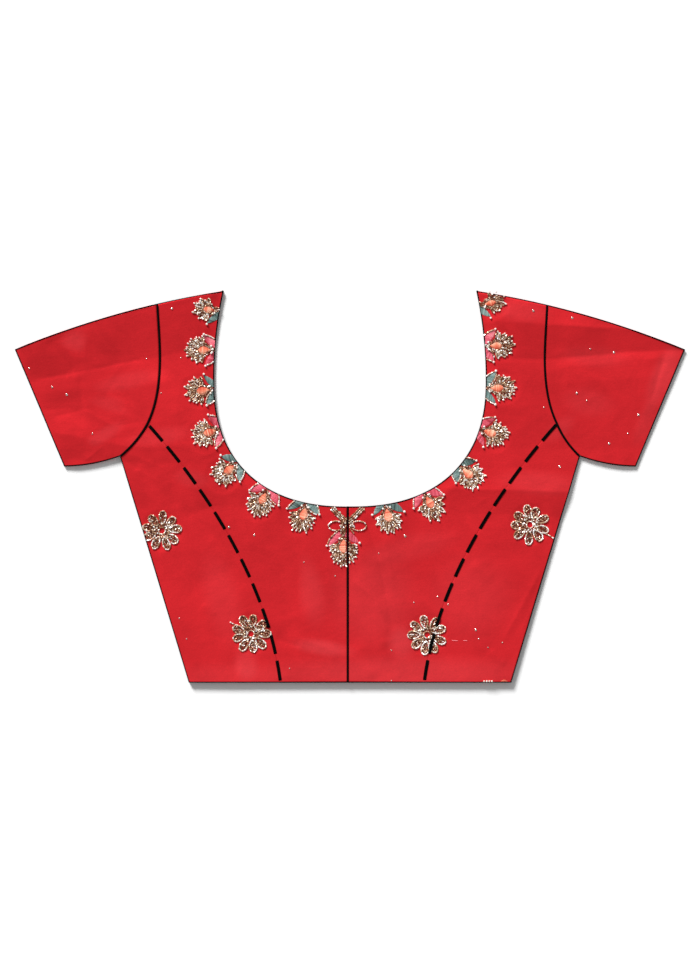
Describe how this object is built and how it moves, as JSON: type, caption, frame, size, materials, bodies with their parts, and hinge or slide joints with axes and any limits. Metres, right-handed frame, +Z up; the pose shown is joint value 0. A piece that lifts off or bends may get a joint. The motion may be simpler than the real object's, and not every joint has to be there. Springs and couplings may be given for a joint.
{
  "type": "choli blouse",
  "caption": "Cropped short-sleeved choli blouse of a lehenga set, laid flat with its front up: deep wide neck, princess seams, piped armholes and a hooked front edge.",
  "frame": {"origin": "centre of the footprint on the surface that the blouse lies on", "axes": "+X towards the wearer's left sleeve, +Y from hem to neck, +Z up out of the front of the blouse"},
  "size_m": [0.67, 0.3914, 0.0063],
  "materials": {
    "red_silk": "red satin-faced raw silk, soft sheen",
    "black_piping_cord": "black twisted cotton piping, matt",
    "hook_steel": "plated steel wire",
    "black_stitching": "black overlock and running stitch thread",
    "coral_silk_thread": "coral silk floss, satin stitch",
    "teal_silk_thread": "grey teal silk floss, satin stitch",
    "pink_silk_thread": "pink silk floss, satin stitch",
    "zari_beads": "faceted pale gold cut beads",
    "sequins": "small flat pale sequins"
  },
  "bodies": {
    "root": {"back": "red_silk", "front_centre_right": "red_silk", "front_centre_left": "red_silk", "front_side_right": "red_silk", "front_side_left": "red_silk", "sleeve_right": "red_silk", "sleeve_left": "red_silk", "underlap": "red_silk", "armhole_piping_front_right": "black_piping_cord", "armhole_piping_front_left": "black_piping_cord", "armhole_piping_back_right": "black_piping_cord", "armhole_piping_back_left": "black_piping_cord", "front_edge_piping": "black_piping_cord", "hook_1": "hook_steel", "hook_2": "hook_steel", "hook_3": "hook_steel", "hook_4": "hook_steel", "hook_5": "hook_steel"}
  },
  "joints": []
}
